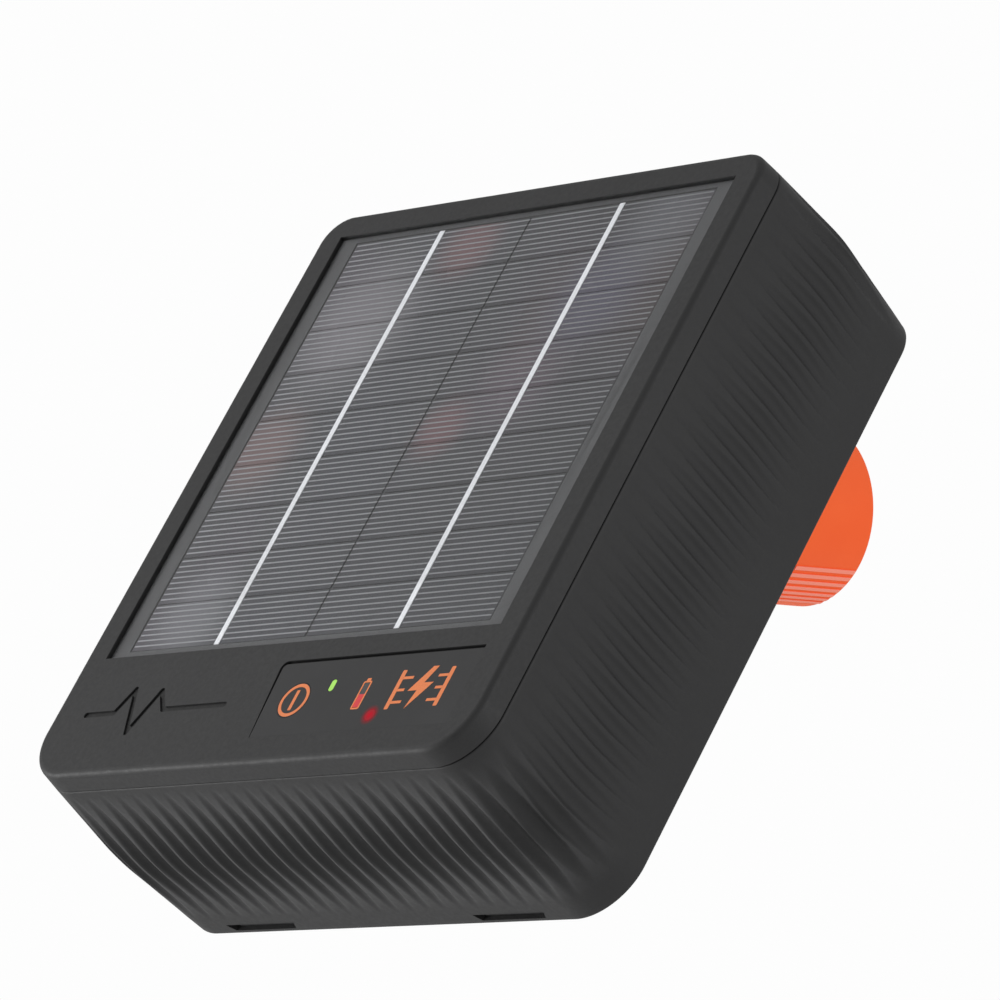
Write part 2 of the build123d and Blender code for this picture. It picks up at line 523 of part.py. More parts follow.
# ---------------------------------------------------------------------------
# Clamp: jaw, captive screw, knob
# ---------------------------------------------------------------------------
jaw = bx(-4.9, 4.9, 1.2, 9.0, -11.0, 11.0)
jaw = chamfer([e for e in jaw.edges() if abs(e.center().Y - 9.0) < 1e-3 and abs(abs(e.center().Z) - 11) < 1e-3], 1.0)
jaw -= cz(0, 0, -20, 20, POST_SEAT_R)
jaw -= cy(0, 0, 4.5, 12, 3.0 + RUN)
for s in (-1, 1):
    jaw -= cz(s * 2.75, 6.6, -11.5, 11.5, 0.5)
row("clamp_jaw", jaw)
row("jaw_retaining_pins", group([cz(s * 2.75, 6.6, -10.8, 10.8, 0.5) for s in (-1, 1)]))
row("thrust_washer", cy(0, 0, 9.0, 9.8, 4.6) - cy(0, 0, 8, 11, 3.0 + RUN))
screw = cy(0, 0, 4.6, 9.8, 3.0) - (cy(0, 0, 6.0, 7.2, 5) - cy(0, 0, 5, 8, 2.2))
screw += Pos(0, 9.8, 0) * Rot(-90, 0, 0) * threaded(4.0, 3.45, 1.25, 12.5)
screw += cy(0, 0, 22.2, 23.2, 4.0)
screw += Pos(0, 23.0, 0) * Rot(-90, 0, 0) * extrude(RegularPolygon(6.5, 6, major_radius=False), 5.0)
row("clamp_screw", screw)
knob = cy(0, 0, KNOB_Y0, KNOB_Y1, KNOB_R - 0.25)
grip = []
for base in (-60.0, 60.0, 180.0):
    for k in range(-3, 4):
        a = base + k * 5.6
        grip.append(Rot(0, -a, 0) * bx(KNOB_R - 1.2, KNOB_R, KNOB_Y0 + 0.8, KNOB_Y1 - 0.9, -0.55, 0.55))
knob += grip
rim = [e for e in knob.edges() if e.geom_type == GeomType.CIRCLE and abs(e.center().Y - KNOB_Y1) < 1e-3]
knob = fillet(rim, 0.7)
knob -= cy(0, 0, KNOB_Y0 - 1, 21.5, 20.0)
knob -= cy(0, 0, 21, 23.5, 4.0)
knob -= Pos(0, 23.0, 0) * Rot(-90, 0, 0) * extrude(RegularPolygon(6.5, 6, major_radius=False), 5.01)
knob -= cy(0, 0, 28.0, 30, 12.0)
row("clamp_knob", knob)
row("knob_cap", cy(0, 0, 28.0, 29.0, 11.95))

# ---------------------------------------------------------------------------
for name, shape in nodes.items():
    export_step(shape, f"parts/{name}.step")
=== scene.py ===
import bpy, bmesh, json, math
import numpy as np
from mathutils import Vector, Matrix


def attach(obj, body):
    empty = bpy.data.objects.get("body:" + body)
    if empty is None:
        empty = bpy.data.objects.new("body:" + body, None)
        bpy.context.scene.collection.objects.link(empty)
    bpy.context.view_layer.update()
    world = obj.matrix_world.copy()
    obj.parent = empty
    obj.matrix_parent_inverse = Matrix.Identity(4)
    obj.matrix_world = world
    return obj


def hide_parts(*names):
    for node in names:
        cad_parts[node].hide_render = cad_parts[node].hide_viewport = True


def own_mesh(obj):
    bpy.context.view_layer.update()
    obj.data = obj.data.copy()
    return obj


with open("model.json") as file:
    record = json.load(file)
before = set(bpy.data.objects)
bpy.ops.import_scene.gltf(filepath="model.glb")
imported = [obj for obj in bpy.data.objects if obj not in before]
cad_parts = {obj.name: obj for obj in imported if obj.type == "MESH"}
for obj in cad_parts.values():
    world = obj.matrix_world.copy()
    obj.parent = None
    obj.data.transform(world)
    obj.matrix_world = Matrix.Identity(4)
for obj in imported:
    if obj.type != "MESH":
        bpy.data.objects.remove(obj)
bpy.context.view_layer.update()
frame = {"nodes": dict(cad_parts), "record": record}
NODES = frame["nodes"]

# ----------------------------------------------------------------------------
# unit frame: x right, y up the solar face, z out of the solar face, millimetres
# ----------------------------------------------------------------------------
TILT = math.radians(34.2)
CT, ST = math.cos(TILT), math.sin(TILT)


def U(x, y, z):
    return (x / 1000.0, (-102.5 + y * ST - z * CT) / 1000.0, (1.97 + y * CT + z * ST) / 1000.0)


def Uarr(p):
    p = np.asarray(p, float).reshape(-1, 3)
    return np.stack([p[:, 0], -102.5 + p[:, 1] * ST - p[:, 2] * CT, 1.97 + p[:, 1] * CT + p[:, 2] * ST], 1) / 1000.0


# ----------------------------------------------------------------------------
# materials
# ----------------------------------------------------------------------------
def srgb(r, g, b):
    def f(v):
        v /= 255.0
        return v / 12.92 if v <= 0.04045 else ((v + 0.055) / 1.055) ** 2.4
    return (f(r), f(g), f(b), 1.0)


class M:
    """Small helper round a node tree."""

    def __init__(self, name):
        self.mat = bpy.data.materials.new(name)
        self.mat.use_nodes = True
        self.nt = self.mat.node_tree
        self.nt.nodes.clear()
        self.out = self.add("ShaderNodeOutputMaterial")
        self.bsdf = self.add("ShaderNodeBsdfPrincipled")
        self.link(self.bsdf, "BSDF", self.out, "Surface")
        self.geo = self.add("ShaderNodeTexCoord")

    def add(self, kind, **kw):
        n = self.nt.nodes.new(kind)
        for k, v in kw.items():
            setattr(n, k, v)
        return n

    def link(self, a, ao, b, bi):
        self.nt.links.new(a.outputs[ao], b.inputs[bi])

    def noise(self, scale, detail=3.0, rough=0.5, stretch=None, dist=0.0):
        n = self.add("ShaderNodeTexNoise")
        n.inputs["Scale"].default_value = scale
        n.inputs["Detail"].default_value = detail
        n.inputs["Roughness"].default_value = rough
        n.inputs["Distortion"].default_value = dist
        if stretch:
            m = self.add("ShaderNodeMapping")
            m.inputs["Scale"].default_value = stretch
            self.link(self.geo, "Object", m, "Vector")
            self.link(m, "Vector", n, "Vector")
        else:
            self.link(self.geo, "Object", n, "Vector")
        return n

    def ramp(self, src, out, stops):
        r = self.add("ShaderNodeValToRGB")
        e = r.color_ramp.elements
        while len(e) < len(stops):
            e.new(0.5)
        for el, (p, c) in zip(e, stops):
            el.position = p
            el.color = c if len(c) == 4 else (*c, 1)
        self.link(src, out, r, "Fac")
        return r

    def maprange(self, src, out, a, b, c, d):
        m = self.add("ShaderNodeMapRange")
        m.inputs["From Min"].default_value = a
        m.inputs["From Max"].default_value = b
        m.inputs["To Min"].default_value = c
        m.inputs["To Max"].default_value = d
        self.link(src, out, m, "Value")
        return m

    def bump(self, src, out, strength, dist, prev=None):
        b = self.add("ShaderNodeBump")
        b.inputs["Strength"].default_value = strength
        b.inputs["Distance"].default_value = dist
        self.link(src, out, b, "Height")
        if prev is not None:
            self.link(prev, "Normal", b, "Normal")
        self.link(b, "Normal", self.bsdf, "Normal")
        return b

    def set(self, **kw):
        for k, v in kw.items():
            self.bsdf.inputs[k].default_value = v


def vary(c, k):
    return (min(1, c[0] * k), min(1, c[1] * k), min(1, c[2] * k), 1.0)


def plastic(name, col, rough=(0.42, 0.55), grain=3600.0, bump=0.12, spread=0.10, spec=0.5, coat=0.0, mottle=60.0, dust=0.0):
    """Moulded plastic: fine spark-eroded grain and faint mottle; the dust argument is not used."""
    m = M(name)
    mot = m.noise(mottle, 4.0, 0.6)
    fine = m.noise(grain, 2.0, 0.6)
    base = m.ramp(mot, "Fac", [(0.30, vary(col, 1 - spread)), (0.70, vary(col, 1 + spread))])
    mix = m.add("ShaderNodeMixRGB", blend_type="MULTIPLY")
    mix.inputs["Fac"].default_value = 0.35
    m.link(base, "Color", mix, "Color1")
    grey = m.ramp(fine, "Fac", [(0.30, (0.80, 0.80, 0.80)), (0.70, (1.15, 1.15, 1.15))])
    m.link(grey, "Color", mix, "Color2")
    m.link(mix, "Color", m.bsdf, "Base Color")
    r = m.maprange(mot, "Fac", 0.3, 0.7, rough[0], rough[1])
    m.link(r, "Result", m.bsdf, "Roughness")
    m.set(**{"Specular IOR Level": spec, "Coat Weight": coat, "Coat Roughness": 0.25})
    m.bump(fine, "Fac", bump, 0.00006)
    return m.mat


def metal(name, col, rough=(0.22, 0.36), stretch=(1, 1, 1), scale=900.0, bump=0.10, spread=0.06):
    m = M(name)
    n = m.noise(scale, 4.0, 0.6, stretch=stretch)
    big = m.noise(70.0, 3.0, 0.5)
    base = m.ramp(big, "Fac", [(0.3, vary(col, 1 - spread)), (0.7, vary(col, 1 + spread))])
    m.link(base, "Color", m.bsdf, "Base Color")
    r = m.maprange(n, "Fac", 0.3, 0.7, rough[0], rough[1])
    m.link(r, "Result", m.bsdf, "Roughness")
    m.set(Metallic=1.0)
    m.bump(n, "Fac", bump, 0.00003)
    return m.mat


def painted_sheen_fade(mat, left, right):
    """Fade a print's brightness from left to right across the panel: a painted highlight on the left, darker to the
    right.
    """
    nt = mat.node_tree
    bsdf = next(n for n in nt.nodes if n.type == "BSDF_PRINCIPLED")
    src = bsdf.inputs["Base Color"].links[0].from_socket
    tc = nt.nodes.new("ShaderNodeTexCoord")
    sep = nt.nodes.new("ShaderNodeSeparateXYZ")
    nt.links.new(tc.outputs["Object"], sep.inputs["Vector"])
    mr = nt.nodes.new("ShaderNodeMapRange")
    mr.inputs["From Min"].default_value = -0.062
    mr.inputs["From Max"].default_value = 0.062
    mr.inputs["To Min"].default_value = left
    mr.inputs["To Max"].default_value = right
    nt.links.new(sep.outputs["X"], mr.inputs["Value"])
    mul = nt.nodes.new("ShaderNodeMixRGB")
    mul.blend_type = "MULTIPLY"
    mul.inputs["Fac"].default_value = 1.0
    nt.links.new(src, mul.inputs["Color1"])
    nt.links.new(mr.outputs["Result"], mul.inputs["Color2"])
    nt.links.new(mul.outputs["Color"], bsdf.inputs["Base Color"])
    return mat


def rubber(name, col):
    return plastic(name, col, rough=(0.70, 0.85), grain=2500.0, bump=0.25, spread=0.15, spec=0.3)


def lit_spot(m, x, y, radius):
    """1 at a point of the panel face, easing to 0 at the given radius (mm)."""
    d = m.add("ShaderNodeVectorMath", operation="DISTANCE")
    d.inputs[1].default_value = U(x, y, -1.25)
    m.link(m.geo, "Object", d, 0)
    r = m.maprange(d, "Value", radius * 0.0001, radius / 1000.0, 1.0, 0.0)
    r.interpolation_type = "SMOOTHERSTEP"
    return r


def unit_y(m):
    """Position up the panel (unit y, metres) of the shaded point, from object space."""
    d = m.add("ShaderNodeVectorMath", operation="DOT_PRODUCT")
    d.inputs[1].default_value = (0.0, ST, CT)
    m.link(m.geo, "Object", d, 0)
    return d      # value = y + const; const below
UY0 = (-0.1025 * ST + 0.00197 * CT)   # value of the dot product at unit y = 0


def make_housing(name="housing_black_mat", ridge_shading=False, recess_shade=False):
    m = M(name)
    mot = m.noise(28.0, 5.0, 0.6)
    fine = m.noise(4200.0, 2.0, 0.55)
    mid = m.noise(900.0, 3.0, 0.6)
    base = m.ramp(mot, "Fac", [(0.30, (0.0190, 0.0190, 0.0194)), (0.70, (0.0222, 0.0222, 0.0227))])
    src = base
    if ridge_shading:
        # painted light on the ribs: the per-vertex ridge value scales the black, down to 0.72 in the grooves (painted
        # shade) and up to 2.2 times on the ridge tops (painted highlight)
        at = m.add("ShaderNodeAttribute", attribute_name="ridge")
        tone = m.ramp(at, "Fac", [(0.0, (0.72, 0.72, 0.72)), (0.5, (1.0, 1.0, 1.0)), (1.0, (2.2, 2.2, 2.2))])
        ridge_shade_mix = m.add("ShaderNodeMixRGB", blend_type="MULTIPLY")
        ridge_shade_mix.inputs["Fac"].default_value = 1.0
        m.link(base, "Color", ridge_shade_mix, "Color1")
        m.link(tone, "Color", ridge_shade_mix, "Color2")
        src = ridge_shade_mix
    # painted shade: inside the opening, the bezel's recess below the front face is painted near black (0.006)
    if recess_shade:
        uz = m.add("ShaderNodeVectorMath", operation="DOT_PRODUCT")
        uz.inputs[1].default_value = (0.0, -CT, ST)
        m.link(m.geo, "Object", uz, 0)
        z0 = -0.1025 * CT - 0.00197 * ST
        below = m.maprange(uz, "Value", -z0 - 0.00045, -z0 - 0.00020, 1.0, 0.0)
        sep = m.add("ShaderNodeSeparateXYZ")
        m.link(m.geo, "Object", sep, "Vector")
        ax = m.add("ShaderNodeMath", operation="ABSOLUTE")
        m.link(sep, "X", ax, 0)
        inx = m.maprange(ax, "Value", 0.0700, 0.0715, 1.0, 0.0)
        uy = unit_y(m)
        ay = m.add("ShaderNodeMath", operation="SUBTRACT")
        ay.inputs[1].default_value = UY0
        m.link(uy, "Value", ay, 0)
        by = m.add("ShaderNodeMath", operation="ABSOLUTE")
        m.link(ay, "Value", by, 0)
        iny = m.maprange(by, "Value", 0.0785, 0.0800, 1.0, 0.0)
        k1 = m.add("ShaderNodeMath", operation="MULTIPLY")
        m.link(inx, "Result", k1, 0)
        m.link(iny, "Result", k1, 1)
        k2 = m.add("ShaderNodeMath", operation="MULTIPLY")
        m.link(k1, "Value", k2, 0)
        m.link(below, "Result", k2, 1)
        recess_mix = m.add("ShaderNodeMixRGB")
        m.link(k2, "Value", recess_mix, "Fac")
        m.link(base, "Color", recess_mix, "Color1")
        recess_mix.inputs["Color2"].default_value = (0.006, 0.006, 0.006, 1)
        src = recess_mix
    mix = m.add("ShaderNodeMixRGB", blend_type="MULTIPLY")
    mix.inputs["Fac"].default_value = 0.5
    m.link(src, "Color", mix, "Color1")
    g = m.ramp(fine, "Fac", [(0.32, (0.82, 0.82, 0.82)), (0.68, (1.16, 1.16, 1.16))])
    m.link(g, "Color", mix, "Color2")
    m.link(mix, "Color", m.bsdf, "Base Color")
    r = m.maprange(mid, "Fac", 0.3, 0.7, 0.50, 0.60)
    m.link(r, "Result", m.bsdf, "Roughness")
    m.set(**{"Specular IOR Level": 0.30})
    b = m.bump(fine, "Fac", 0.16, 0.00005)
    m.bump(mid, "Fac", 0.05, 0.0002, prev=b)
    return m.mat


def make_cells():
    """Blue-grey multicrystalline silicon under film, with faint warm and violet casts; a painted highlight brighter on
    the left, patches of painted reflection and one patch of painted shade.
    """
    m = M("silicon_mat")
    d = unit_y(m)
    vor = m.add("ShaderNodeTexVoronoi")
    vor.inputs["Scale"].default_value = 210.0
    m.link(m.geo, "Object", vor, "Vector")
    facet = m.ramp(vor, "Distance", [(0.0, (0.0255, 0.0250, 0.0268)), (1.0, (0.0292, 0.0288, 0.0308))])
    cast = m.noise(15.0, 1.0, 0.4, stretch=(1.0, 0.8, 0.8))
    tint = m.ramp(cast, "Fac", [(0.34, (0.94, 0.97, 1.10)), (0.50, (1.0, 1.0, 1.0)), (0.58, (1.25, 1.05, 1.22)), (0.66, (2.1, 1.35, 1.30))])
    mix = m.add("ShaderNodeMixRGB", blend_type="MULTIPLY")
    mix.inputs["Fac"].default_value = 1.0
    m.link(facet, "Color", mix, "Color1")
    m.link(tint, "Color", mix, "Color2")
    # painted highlight: the cells are painted brighter on the left, fading darker to the right
    sep = m.add("ShaderNodeSeparateXYZ")
    m.link(m.geo, "Object", sep, "Vector")
    glow = m.maprange(sep, "X", -0.062, 0.062, 1.45, 0.60)
    lift = m.add("ShaderNodeMixRGB", blend_type="MULTIPLY")
    lift.inputs["Fac"].default_value = 1.0
    m.link(mix, "Color", lift, "Color1")
    m.link(glow, "Result", lift, "Color2")
    last = lift
    # patches of painted reflection (lighter and tinted) and one of painted shade (the darker patch at -2, -20)
    for x, y, rad, col, amt in ((-17.6, 68, 15, (0.22, 0.10, 0.10, 1), 0.60), (8.5, 11, 13, (0.20, 0.085, 0.09, 1), 0.60),
                                (27, 22, 20, (0.13, 0.085, 0.11, 1), 0.50), (-54, 11, 19, (0.22, 0.13, 0.12, 1), 0.65),
                                (38, 46, 24, (0.085, 0.08, 0.125, 1), 0.60), (-45, -38, 20, (0.20, 0.20, 0.21, 1), 0.60),
                                (-44, 48, 30, (0.235, 0.218, 0.228, 1), 0.66), (50, 66, 22, (0.125, 0.125, 0.135, 1), 0.60),
                                (-2, -20, 26, (0.022, 0.022, 0.024, 1), 0.55)):
        spot = lit_spot(m, x, y, rad)
        k = m.add("ShaderNodeMath", operation="MULTIPLY")
        k.inputs[1].default_value = amt
        m.link(spot, "Result", k, 0)
        nx = m.add("ShaderNodeMixRGB")
        m.link(k, "Value", nx, "Fac")
        m.link(last, "Color", nx, "Color1")
        nx.inputs["Color2"].default_value = col
        last = nx
    m.link(last, "Color", m.bsdf, "Base Color")
    m.set(Roughness=0.5, **{"Specular IOR Level": 0.4})
    return m.mat


def make_film():
    """Clear laminate film: mostly see-through with a soft satin reflection."""
    m = M("panel_film_mat")
    m.nt.nodes.remove(m.bsdf)
    tr = m.add("ShaderNodeBsdfTransparent")
    gl = m.add("ShaderNodeBsdfGlossy")
    wob = m.noise(55.0, 2.0, 0.5)
    r = m.maprange(wob, "Fac", 0.3, 0.7, 0.26, 0.30)
    m.link(r, "Result", gl, "Roughness")
    fine = m.noise(1500.0, 2.0, 0.5)
    b = m.add("ShaderNodeBump")
    b.inputs["Strength"].default_value = 0.06
    b.inputs["Distance"].default_value = 0.0001
    m.link(fine, "Fac", b, "Height")
    m.link(b, "Normal", gl, "Normal")
    tr.inputs["Color"].default_value = (0.97, 0.975, 0.985, 1)
    fr = m.add("ShaderNodeFresnel")
    fr.inputs["IOR"].default_value = 1.42
    gm = m.add("ShaderNodeNewGeometry")
    front = m.add("ShaderNodeMath", operation="SUBTRACT")
    front.inputs[0].default_value = 1.0
    m.link(gm, "Backfacing", front, 1)
    face = m.add("ShaderNodeMath", operation="MULTIPLY")
    m.link(fr, "Fac", face, 0)
    m.link(front, "Value", face, 1)
    mx = m.add("ShaderNodeMixShader")
    m.link(face, "Value", mx, "Fac")
    m.nt.links.new(tr.outputs[0], mx.inputs[1])
    m.nt.links.new(gl.outputs[0], mx.inputs[2])
    m.link(mx, "Shader", m.out, "Surface")
    return m.mat


def make_glow(name, col, strength, dark=None, split=None):
    """Light pipe, lit from behind; with split, only the part below that unit y is lit."""
    m = M(name)
    n = m.noise(400.0, 2.0, 0.5)
    c = m.ramp(n, "Fac", [(0.3, vary(col, 0.85)), (0.7, vary(col, 1.1))])
    m.link(c, "Color", m.bsdf, "Base Color")
    m.link(c, "Color", m.bsdf, "Emission Color")
    if split is None:
        m.set(**{"Emission Strength": strength})
    else:
        d = unit_y(m)
        r = m.maprange(d, "Value", UY0 + split - 0.00012, UY0 + split + 0.00012, 1.0, 0.0)
        mul = m.add("ShaderNodeMath", operation="MULTIPLY")
        mul.inputs[1].default_value = strength
        m.link(r, "Result", mul, 0)
        m.link(mul, "Value", m.bsdf, "Emission Strength")
        mx = m.add("ShaderNodeMixRGB")
        mx.inputs["Color1"].default_value = (0.03, 0.03, 0.032, 1)
        m.link(r, "Result", mx, "Fac")
        m.link(c, "Color", mx, "Color2")
        m.link(mx, "Color", m.bsdf, "Base Color")
    m.set(Roughness=0.35)
    return m.mat


def make_winding():
    m = M("copper_winding_mat")
    w = m.add("ShaderNodeTexWave", wave_type="BANDS", bands_direction="Z")
    w.inputs["Scale"].default_value = 900.0
    m.link(m.geo, "Object", w, "Vector")
    c = m.ramp(w, "Color", [(0.2, (0.32, 0.10, 0.035)), (0.8, (0.72, 0.28, 0.10))])
    m.link(c, "Color", m.bsdf, "Base Color")
    m.set(Metallic=0.8, Roughness=0.3)
    m.bump(w, "Color", 0.5, 0.0002)
    return m.mat


def make_board():
    m = M("board_green_mat")
    ch = m.add("ShaderNodeTexVoronoi", feature="DISTANCE_TO_EDGE")
    ch.inputs["Scale"].default_value = 240.0
    m.link(m.geo, "Object", ch, "Vector")
    c = m.ramp(ch, "Distance", [(0.0, (0.015, 0.11, 0.045)), (0.12, (0.02, 0.17, 0.07)), (1.0, (0.018, 0.14, 0.06))])
    m.link(c, "Color", m.bsdf, "Base Color")
    m.set(Roughness=0.35, **{"Coat Weight": 0.4})
    m.bump(ch, "Distance", 0.1, 0.0001)
    return m.mat


def make_laminations():
    m = M("laminated_steel_mat")
    w = m.add("ShaderNodeTexWave", wave_type="BANDS", bands_direction="Y")
    w.inputs["Scale"].default_value = 320.0
    m.link(m.geo, "Object", w, "Vector")
    c = m.ramp(w, "Color", [(0.1, (0.10, 0.10, 0.11)), (0.9, (0.34, 0.34, 0.36))])
    m.link(c, "Color", m.bsdf, "Base Color")
    m.set(Metallic=0.9, Roughness=0.45)
    m.bump(w, "Color", 0.4, 0.0002)
    return m.mat


def make_knob():
    """Orange moulding with a painted highlight: the rib crests are painted paler than the skin."""
    m = M("knob_orange_mat")
    mot = m.noise(45.0, 3.0, 0.5)
    base = m.ramp(mot, "Fac", [(0.3, (0.97, 0.120, 0.022)), (0.7, (1.0, 0.136, 0.026))])
    sq = m.add("ShaderNodeVectorMath", operation="MULTIPLY")
    sq.inputs[1].default_value = (1.0, 0.0, 1.0)
    m.link(m.geo, "Object", sq, 0)
    rad = m.add("ShaderNodeVectorMath", operation="LENGTH")
    m.link(sq, "Vector", rad, 0)
    # painted highlight: paler salmon where the radius reaches the rib tops
    crest_highlight = m.maprange(rad, "Value", 0.02228, 0.02242, 0.0, 1.0)
    mx = m.add("ShaderNodeMixRGB")
    m.link(crest_highlight, "Result", mx, "Fac")
    m.link(base, "Color", mx, "Color1")
    mx.inputs["Color2"].default_value = (1.0, 0.290, 0.200, 1)
    m.link(mx, "Color", m.bsdf, "Base Color")
    m.set(Roughness=0.5, **{"Specular IOR Level": 0.25})
    fine = m.noise(3000.0, 2.0, 0.5)
    m.bump(fine, "Fac", 0.06, 0.00004)
    return m.mat


def make_halo():
    """Soft red light seen through the smoked window, fading out from its centre."""
    m = M("halo_red_mat")
    m.nt.nodes.remove(m.bsdf)
    tr = m.add("ShaderNodeBsdfTransparent")
    em = m.add("ShaderNodeEmission")
    em.inputs["Color"].default_value = (0.62, 0.022, 0.040, 1)
    em.inputs["Strength"].default_value = 0.85
    d = m.add("ShaderNodeVectorMath", operation="DISTANCE")
    d.inputs[1].default_value = U(39.3, -72.2, 0.0)
    m.link(m.geo, "Object", d, 0)
    grain = m.noise(1800.0, 2.0, 0.5)
    r = m.maprange(d, "Value", 0.0, 0.0030, 1.0, 0.0)
    r.interpolation_type = "SMOOTHSTEP"
    sp = m.maprange(grain, "Fac", 0.2, 0.8, 0.65, 1.0)
    k = m.add("ShaderNodeMath", operation="MULTIPLY")
    m.link(r, "Result", k, 0)
    m.link(sp, "Result", k, 1)
    mx = m.add("ShaderNodeMixShader")
    m.link(k, "Value", mx, "Fac")
    m.nt.links.new(tr.outputs[0], mx.inputs[1])
    m.nt.links.new(em.outputs[0], mx.inputs[2])
    m.link(mx, "Shader", m.out, "Surface")
    return m.mat


KNOB = make_knob()
HALO = make_halo()
SMOKED = make_glow("smoked_red_mat", (0.10, 0.012, 0.014), 0.25)
HOUSING = make_housing()
# ribbed black with painted highlight on the ridges and painted shade in the grooves
RIBBED = make_housing("ribbed_black_mat", ridge_shading=True)
# bezel black with painted shade in its recess
BEZEL = make_housing("bezel_black_mat", recess_shade=True)
MATS = {
    "housing_black": HOUSING,
    "cover_black": plastic("cover_black_mat", (0.017, 0.017, 0.018), rough=(0.46, 0.58), grain=3800.0, bump=0.2),
    "overlay_black": plastic("overlay_black_mat", (0.0165, 0.0165, 0.0172), rough=(0.44, 0.52), grain=5200.0, bump=0.10, spread=0.04, spec=0.30),
    "panel_film": make_film(),
    "panel_border": plastic("panel_border_mat", (0.038, 0.038, 0.039), rough=(0.35, 0.45), grain=2600.0, bump=0.06, spread=0.05),
    "silicon": make_cells(),
    "silver_ribbon": metal("silver_ribbon_mat", (0.93, 0.93, 0.94), rough=(0.38, 0.55), scale=700.0, bump=0.2),
    "foam_tape": rubber("foam_tape_mat", (0.03, 0.03, 0.03, 1)),
    "gasket_rubber": rubber("gasket_rubber_mat", (0.010, 0.010, 0.010, 1)),
    "light_green": make_glow("light_green_mat", (0.26, 0.52, 0.07), 0.55),
    "light_red": make_glow("light_red_mat", (0.42, 0.008, 0.012), 0.55, split=-0.0662),
    "orange_plastic": plastic("orange_plastic_mat", (1.0, 0.128, 0.024), rough=(0.45, 0.55), grain=3000.0, bump=0.06, spread=0.02, spec=0.25),
    "red_plastic": plastic("red_plastic_mat", (0.52, 0.018, 0.018), rough=(0.30, 0.42), grain=3000.0, bump=0.08, spread=0.04),
    "green_plastic": plastic("green_plastic_mat", (0.020, 0.26, 0.075), rough=(0.30, 0.42), grain=3000.0, bump=0.08, spread=0.04),
    "bracket_black": plastic("bracket_black_mat", (0.026, 0.026, 0.027), rough=(0.45, 0.60), grain=2400.0, bump=0.22),
    "zinc_steel": metal("zinc_steel_mat", (0.62, 0.62, 0.58), rough=(0.28, 0.42)),
    "stainless": metal("stainless_mat", (0.60, 0.60, 0.61), rough=(0.20, 0.32)),
    "spring_steel": metal("spring_steel_mat", (0.42, 0.42, 0.43), rough=(0.25, 0.38)),
    "brass": metal("brass_mat", (0.72, 0.52, 0.20), rough=(0.25, 0.4)),
    "board_green": make_board(),
    "component_black": plastic("component_black_mat", (0.020, 0.020, 0.021), rough=(0.4, 0.5), grain=2000.0, bump=0.1),
    "laminated_steel": make_laminations(),
    "bobbin_white": plastic("bobbin_white_mat", (0.62, 0.60, 0.52), rough=(0.4, 0.5), grain=1500.0, bump=0.05),
    "copper_winding": make_winding(),
    "capacitor_blue": plastic("capacitor_blue_mat", (0.03, 0.10, 0.32), rough=(0.25, 0.35), grain=1500.0, bump=0.05),
    "aluminium_fin": metal("aluminium_fin_mat", (0.60, 0.61, 0.62), rough=(0.30, 0.45), stretch=(1, 8, 8)),
    "battery_wrap": plastic("battery_wrap_mat", (0.04, 0.22, 0.32), rough=(0.18, 0.30), grain=800.0, bump=0.06),
    "tray_plastic": plastic("tray_plastic_mat", (0.07, 0.07, 0.075), rough=(0.45, 0.55), grain=2200.0, bump=0.15),
    "nickel": metal("nickel_mat", (0.62, 0.60, 0.54), rough=(0.25, 0.35)),
    "lead_red": plastic("lead_red_mat", (0.45, 0.02, 0.02), rough=(0.35, 0.45), grain=1200.0, bump=0.05),
    "lead_black": plastic("lead_black_mat", (0.015, 0.015, 0.015), rough=(0.35, 0.45), grain=1200.0, bump=0.05),
    "lead_white": plastic("lead_white_mat", (0.62, 0.62, 0.58), rough=(0.4, 0.5), grain=1200.0, bump=0.05),
    "vent_grey": plastic("vent_grey_mat", (0.14, 0.14, 0.15), rough=(0.5, 0.6), grain=1800.0, bump=0.2),
    "header_white": plastic("header_white_mat", (0.66, 0.63, 0.54), rough=(0.4, 0.5), grain=1200.0, bump=0.05),
    "led_clear": plastic("led_clear_mat", (0.70, 0.72, 0.70), rough=(0.10, 0.18), grain=900.0, bump=0.03, coat=0.5),
    "washer_nylon": plastic("washer_nylon_mat", (0.50, 0.50, 0.46), rough=(0.4, 0.5), grain=1500.0, bump=0.08),
}
PRINT_ORANGE = plastic("print_orange_mat", (0.80, 0.21, 0.055), rough=(0.45, 0.55), grain=2600.0, bump=0.05, spread=0.04)
# cell fingers with a painted highlight, brighter on the left and fading to the right
FINGER = painted_sheen_fade(metal("finger_silver_mat", (0.345, 0.345, 0.35), rough=(0.50, 0.62), scale=1200.0, bump=0.1), 1.10, 0.78)

slots = {s["node"]: s["material_slot"] for s in frame["record"]["subparts"]}
for name, ob in NODES.items():
    ob.data.materials.clear()
    ob.data.materials.append({"front_bezel": BEZEL, "clamp_knob": KNOB, "warning_light_pipe": SMOKED}.get(name) or MATS[slots[name]])
    ob.data.shade_smooth()
    ob.data.set_sharp_from_angle(angle=math.radians(28))


# ----------------------------------------------------------------------------
# mesh helpers
# ----------------------------------------------------------------------------
def mesh_obj(name, verts, faces, mat, body="energizer", smooth=True, sharp=None):
    me = bpy.data.meshes.new(name)
    me.from_pydata([tuple(v) for v in verts], [], [tuple(f) for f in faces])
    me.validate()
    bm = bmesh.new()
    bm.from_mesh(me)
    bmesh.ops.recalc_face_normals(bm, faces=bm.faces)
    bm.to_mesh(me)
    bm.free()
    me.materials.append(mat)
    ob = bpy.data.objects.new(name, me)
    bpy.context.scene.collection.objects.link(ob)
    if smooth:
        me.shade_smooth()
        me.set_sharp_from_angle(angle=math.radians(sharp if sharp else 35))
    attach(ob, body)
    return ob


